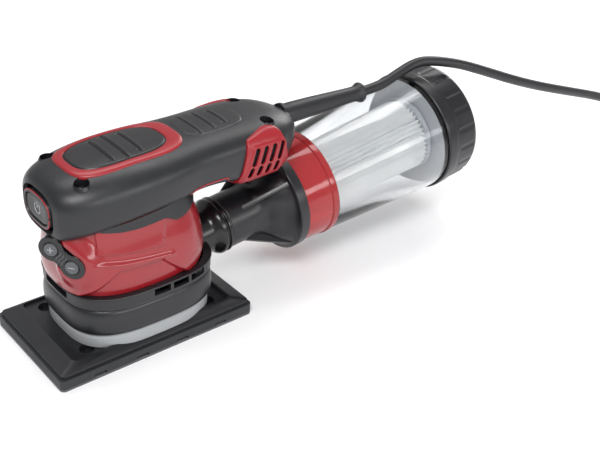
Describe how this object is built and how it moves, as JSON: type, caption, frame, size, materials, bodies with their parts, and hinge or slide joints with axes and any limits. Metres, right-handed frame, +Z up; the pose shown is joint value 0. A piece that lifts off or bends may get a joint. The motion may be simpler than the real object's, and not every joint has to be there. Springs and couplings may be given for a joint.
{
  "type": "orbital sander",
  "caption": "Corded orbital finishing sander with a rectangular pad, soft grip, speed keypad and clear dust canister with a pleated filter.",
  "frame": {"origin": "centre of the sanding face, on the surface the pad stands on", "axes": "+Z up, +X to the rear, where the dust canister and the lead are, -Y to the side with the speed keypad"},
  "size_m": [0.726, 0.1294, 0.1231],
  "materials": {
    "hook_fabric": "hook facing",
    "pad_foam": "matte",
    "pad_plastic": "satin",
    "seal_grey": "satin",
    "cast_aluminium": "cast",
    "steel": "ground",
    "lamination": "laminated",
    "copper_winding": "varnished",
    "balance_brass": "turned",
    "skirt_rubber": "satin",
    "black_plastic": "semi-gloss",
    "red_plastic": "gloss",
    "soft_grip": "soft touch",
    "inlay_plastic": "ribbed",
    "key_grey": "matte",
    "circuit_board": "lacquered",
    "screw_black": "blackened",
    "clear_red": "clear",
    "clear_plastic": "clear",
    "filter_paper": "pleated",
    "lead_rubber": "matte",
    "plug_plastic": "moulded"
  },
  "bodies": {
    "housing": {"rubber_skirt": "skirt_rubber", "vent_belt": "black_plastic", "rubber_posts": "skirt_rubber", "motor_plate": "cast_aluminium", "lower_bearing": "steel", "motor_sleeve": "cast_aluminium", "stator": "lamination", "stator_coils": "copper_winding", "upper_bracket": "cast_aluminium", "upper_bearing": "steel", "lower_housing": "red_plastic", "grip_left": "soft_grip", "grip_right": "soft_grip", "trim_ring": "red_plastic", "front_inlay": "inlay_plastic", "rear_inlay": "inlay_plastic", "button_bezel": "red_plastic", "switch_block": "black_plastic", "control_board": "circuit_board", "capacitor": "black_plastic", "keypad_frame": "black_plastic", "vent_cover_left": "red_plastic", "vent_cover_right": "red_plastic", "head_screws": "screw_black", "tail_screws": "screw_black", "dust_duct": "black_plastic", "port_seal": "skirt_rubber", "cord_gland": "black_plastic", "strain_relief": "lead_rubber", "cord_clamp": "black_plastic", "cord": "lead_rubber", "cord_coil": "lead_rubber", "cord_tail": "lead_rubber", "cord_tie": "plug_plastic", "plug": "plug_plastic"},
    "rotor": {"motor_shaft": "steel", "magnet_rotor": "lamination", "counterweight": "balance_brass", "suction_fan": "black_plastic", "crank_screw": "steel"},
    "pad": {"hook_face": "hook_fabric", "pad_foam": "pad_foam", "pad_plate": "pad_plastic", "seal_ring": "seal_grey", "pad_hub": "cast_aluminium", "pad_screws": "steel", "crank_bearing": "steel"},
    "power_button": {"power_button": "soft_grip"},
    "speed_up": {"speed_up_button": "key_grey"},
    "speed_down": {"speed_down_button": "key_grey"},
    "canister": {"funnel": "black_plastic", "canister_collar": "clear_red", "canister_tube": "clear_plastic", "filter_pleats": "filter_paper", "filter_frame": "black_plastic", "canister_seal": "skirt_rubber"},
    "end_cap": {"end_cap": "black_plastic"}
  },
  "joints": [
    {"name": "rotor_spin", "type": "hinge", "parent": "housing", "child": "rotor", "pos_m": [-0.001, 0, 0.06], "axis": [0, 0, 1], "continuous": true},
    {"name": "pad_orbit", "type": "hinge", "parent": "rotor", "child": "pad", "pos_m": [0, 0, 0.02], "axis": [0, 0, 1], "continuous": true},
    {"name": "power_press", "type": "slide", "parent": "housing", "child": "power_button", "axis": [1, 0, 0], "range_m": [0, 0.0015], "stiffness_N_per_m": 1500},
    {"name": "speed_up_press", "type": "slide", "parent": "housing", "child": "speed_up", "axis": [0.8192, 0.5736, 0], "range_m": [0, 0.0008], "stiffness_N_per_m": 1500},
    {"name": "speed_down_press", "type": "slide", "parent": "housing", "child": "speed_down", "axis": [0.8192, 0.5736, 0], "range_m": [0, 0.0008], "stiffness_N_per_m": 1500},
    {"name": "canister_pull", "type": "slide", "parent": "housing", "child": "canister", "axis": [0.9925, 0, 0.1219], "range_m": [0, 0.012]},
    {"name": "cap_twist", "type": "hinge", "parent": "canister", "child": "end_cap", "pos_m": [0.062, 0, 0.0455], "axis": [0.9925, 0, 0.1219], "range_deg": [0, 45]}
  ],
  "couplings": [
    {"joint": "pad_orbit", "follows": "rotor_spin", "ratio": -1}
  ]
}
